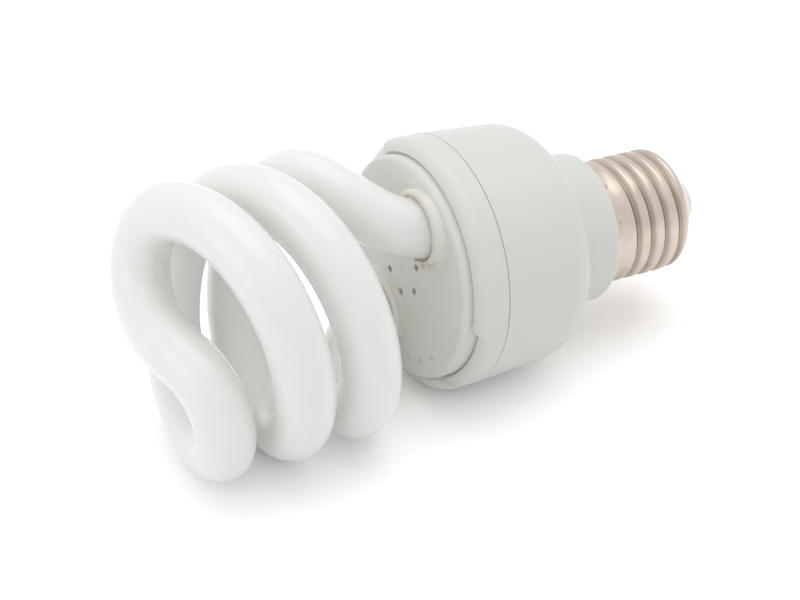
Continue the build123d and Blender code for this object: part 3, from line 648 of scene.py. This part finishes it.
# %% Finishes of the outer pieces
coated_glass = finish("coated_glass", ((0.905, 0.895, 0.872), (0.928, 0.918, 0.897)), 60, (0.3, 0.38),
                      (180, 0.05, 0.0004), Coat_Weight=0.5, Coat_Roughness=0.12, Coat_IOR=1.5,
                      Subsurface_Weight=0.8, Subsurface_Radius=(1, 1, 1), Subsurface_Scale=0.008)
white_plastic = finish("white_plastic", ((0.775, 0.785, 0.75), (0.8, 0.81, 0.775)), 45, (0.36, 0.46),
                       (2600, 0.08, 0.00006), Subsurface_Weight=0.25, Subsurface_Radius=(1, 1, 0.9),
                       Subsurface_Scale=0.0015)
plate_plastic = finish("plate_plastic", ((0.775, 0.775, 0.73), (0.81, 0.81, 0.765)), 70, (0.42, 0.52),
                       (2600, 0.1, 0.00006))
plating = finish("champagne_plating", ((0.55, 0.475, 0.415), (0.64, 0.56, 0.5)), 260, (0.28, 0.38),
                 (900, 0.06, 0.0001), Metallic=1.0)
collar_plastic = finish("collar_plastic", ((0.81, 0.8, 0.74), (0.85, 0.84, 0.785)), 300, (0.45, 0.55),
                        (2200, 0.15, 0.00008))
dried_cement = finish("dried_cement", ((0.68, 0.58, 0.5), (0.9, 0.85, 0.78)), 700, (0.8, 0.95),
                      (3500, 0.5, 0.0002))
cone_moulding = finish("cone_moulding", ((0.74, 0.75, 0.72), (0.8, 0.81, 0.78)), 300, (0.25, 0.35),
                       (1500, 0.08, 0.00006))
tinned_disc = finish("tinned_disc", ((0.6, 0.58, 0.55), (0.74, 0.72, 0.69)), 700, (0.25, 0.45),
                     (1800, 0.2, 0.0001), Metallic=1.0)
outer_finishes = ((spiral, coated_glass), (housing, white_plastic), (cover, white_plastic),
                  (plate, plate_plastic), (shell, plating), (bedding, dried_cement),
                  (insulator, cone_moulding), (button, tinned_disc))
for piece, made in outer_finishes:
    dress(piece, made)
plate.data.materials.append(collar_plastic)
for face in plate.data.polygons[cup_faces:]:
    face.material_index = 1
print("outer finishes:", len(outer_finishes) + 1)

# %% Painted shade in the roots of the thread
plating_tree = plating.node_tree
depth = plating_tree.nodes.new("ShaderNodeAttribute")
depth.attribute_name = "groove"
sharper = plating_tree.nodes.new("ShaderNodeMath")
sharper.operation = "POWER"
sharper.inputs[1].default_value = 1.5
# Painted shade: the plating's colour is multiplied darker in the thread's roots and in the stake marks.
root_shade = plating_tree.nodes.new("ShaderNodeMix")
root_shade.data_type, root_shade.blend_type = "RGBA", "MULTIPLY"
root_shade.inputs["B"].default_value = (0.6, 0.56, 0.52, 1)
plating_shader = plating_tree.nodes["Principled BSDF"]
unshaded_colour = plating_shader.inputs["Base Color"].links[0].from_socket
plating_tree.links.new(depth.outputs["Fac"], sharper.inputs[0])
plating_tree.links.new(sharper.outputs[0], root_shade.inputs["Factor"])
plating_tree.links.new(unshaded_colour, root_shade.inputs["A"])
plating_tree.links.new(root_shade.outputs["Result"], plating_shader.inputs["Base Color"])
print("roots darkened in", plating.name)

# %% Finishes of the components inside
laminate = finish("board_laminate", ((0.5, 0.38, 0.2), (0.62, 0.5, 0.3)), 900, (0.5, 0.65),
                  (2500, 0.2, 0.0001))
tinned = finish("tinned_wire", ((0.6, 0.6, 0.58), (0.75, 0.75, 0.73)), 1200, (0.25, 0.4),
                (2500, 0.1, 0.00005), Metallic=1.0)
sleeve = finish("shrunk_sleeve", ((0.02, 0.025, 0.035), (0.04, 0.045, 0.06)), 500, (0.25, 0.4),
                (900, 0.1, 0.0001))
ferrite = finish("ferrite", ((0.02, 0.02, 0.022), (0.06, 0.06, 0.065)), 1600, (0.6, 0.8), (3000, 0.3, 0.0001))
nylon = finish("natural_nylon", ((0.66, 0.62, 0.52), (0.74, 0.7, 0.6)), 400, (0.4, 0.55),
               (2000, 0.1, 0.00006))
copper = finish("lacquered_copper", ((0.5, 0.2, 0.08), (0.75, 0.36, 0.18)), 1500, (0.25, 0.4),
                (2500, 0.4, 0.0002), Metallic=0.9)
red_wire = finish("wire_insulation", ((0.42, 0.05, 0.04), (0.52, 0.08, 0.06)), 700, (0.35, 0.5),
                  (1500, 0.1, 0.0001))
epoxy = finish("moulded_epoxy", ((0.015, 0.015, 0.016), (0.035, 0.035, 0.036)), 1200, (0.45, 0.65),
               (3500, 0.3, 0.0001))
dipped = finish("dipped_film", ((0.3, 0.07, 0.03), (0.4, 0.1, 0.045)), 350, (0.15, 0.28), (500, 0.15, 0.0002))
lacquer = finish("resistor_lacquer", ((0.6, 0.46, 0.28), (0.7, 0.56, 0.36)), 800, (0.25, 0.4),
                 (1500, 0.15, 0.0001))
inner_finishes = {
    "circuit_board": laminate, "wire_posts": tinned, "tube_leads": tinned, "smoothing_capacitor": sleeve,
    "choke_core": ferrite, "choke_bobbin": nylon, "choke_winding": copper, "drive_toroid": ferrite,
    "toroid_windings": red_wire, "transistors": epoxy, "resonance_capacitor": dipped,
    "coupling_capacitor": dipped, "rectifier_diodes": epoxy, "resistors": lacquer, "trigger_diode": lacquer,
    "fuse_resistor": lacquer, "contact_wire": red_wire, "shell_wire": red_wire}
for node, made in inner_finishes.items():
    dress(frame["nodes"][node], made)
print("inner finishes:", len(inner_finishes))

# %% [markdown]
# ## Table, light and camera
# The photograph is a plain product shot: a white table that runs out of sight, broad soft light from
# above and the left, and a long lens. The table and the surroundings look white to the camera and in
# reflections through the ray's kind, while the light that falls on the lamp stays at a plain level.

# %% Table and surroundings
def seen_directly(tree):
    """A value that is 1 for rays from the camera, in gloss or through glass, and 0 for the rest."""
    ray = tree.nodes.new("ShaderNodeLightPath")
    first = tree.nodes.new("ShaderNodeMath")
    second = tree.nodes.new("ShaderNodeMath")
    first.operation = second.operation = "MAXIMUM"
    tree.links.new(ray.outputs["Is Camera Ray"], first.inputs[0])
    tree.links.new(ray.outputs["Is Glossy Ray"], first.inputs[1])
    tree.links.new(first.outputs[0], second.inputs[0])
    tree.links.new(ray.outputs["Is Transmission Ray"], second.inputs[1])
    return second.outputs[0]


table_mesh = bpy.data.meshes.new("table")
table_mesh.from_pydata([(-4, -4, 0), (4, -4, 0), (4, 4, 0), (-4, 4, 0)], [], [(0, 1, 2, 3)])
table = bpy.data.objects.new("table", table_mesh)
bpy.context.scene.collection.objects.link(table)
table.location.z = solid_box[0].z - 0.00005
table_white = bpy.data.materials.new("table_white")
table_white.use_nodes = True
table_tree = table_white.node_tree
table_tree.nodes.remove(table_tree.nodes["Principled BSDF"])
matt, bright = (table_tree.nodes.new("ShaderNodeBsdfDiffuse") for _ in range(2))
matt.inputs["Color"].default_value = (0.85, 0.85, 0.85, 1)
bright.inputs["Color"].default_value = (1.4, 1.4, 1.4, 1)
table_mix = table_tree.nodes.new("ShaderNodeMixShader")
table_tree.links.new(seen_directly(table_tree), table_mix.inputs["Fac"])
table_tree.links.new(matt.outputs[0], table_mix.inputs[1])
table_tree.links.new(bright.outputs[0], table_mix.inputs[2])
table_tree.links.new(table_mix.outputs[0], table_tree.nodes["Material Output"].inputs["Surface"])
table_mesh.materials.append(table_white)

world = bpy.data.worlds.new("studio")
bpy.context.scene.world = world
world.use_nodes = True
world_tree = world.node_tree
backdrop = world_tree.nodes["Background"]
backdrop.inputs["Color"].default_value = (1, 1, 1, 1)
level_of_light = world_tree.nodes.new("ShaderNodeMapRange")
level_of_light.inputs["To Min"].default_value = 0.69
level_of_light.inputs["To Max"].default_value = 1.0
world_tree.links.new(seen_directly(world_tree), level_of_light.inputs["Value"])
world_tree.links.new(level_of_light.outputs["Result"], backdrop.inputs["Strength"])
print("table at", round(table.location.z, 5))

# %% Soft lamps
def soft_lamp(name, spot, size, power):
    """A square soft lamp that looks at the middle of the bulb."""
    light = bpy.data.lights.new(name, "AREA")
    light.shape, light.size, light.energy = "SQUARE", size, power
    lamp = bpy.data.objects.new(name, light)
    lamp.location = spot
    lamp.rotation_euler = (Vector((0, 0, 0.03)) - Vector(spot)).to_track_quat("-Z", "Y").to_euler()
    bpy.context.scene.collection.objects.link(lamp)
    return lamp


soft_lamp("overhead", (0.15, 0.1, 0.9), 0.9, 2.3)
soft_lamp("left_fill", (-0.9, 0, 0.4), 0.6, 1.0)

# %% Camera
camera_data = bpy.data.cameras.new("long_lens")
camera_data.sensor_fit = "HORIZONTAL"
camera_data.sensor_width = 36
camera_data.lens = 99
camera = bpy.data.objects.new("long_lens", camera_data)
looking = Vector((0.4209, 0.7118, -0.5623)).normalized()
right = looking.cross(Vector((-0.0055, 0.0032, 1))).normalized()
turn = Matrix((right, right.cross(looking), -looking)).transposed()
camera.matrix_world = Matrix.Translation((-0.19462, -0.31724, 0.27256)) @ turn.to_4x4()
bpy.context.scene.collection.objects.link(camera)
bpy.context.scene.camera = camera
bpy.context.scene.view_settings.view_transform = "Standard"
print("camera", tuple(round(c, 4) for c in camera.location))
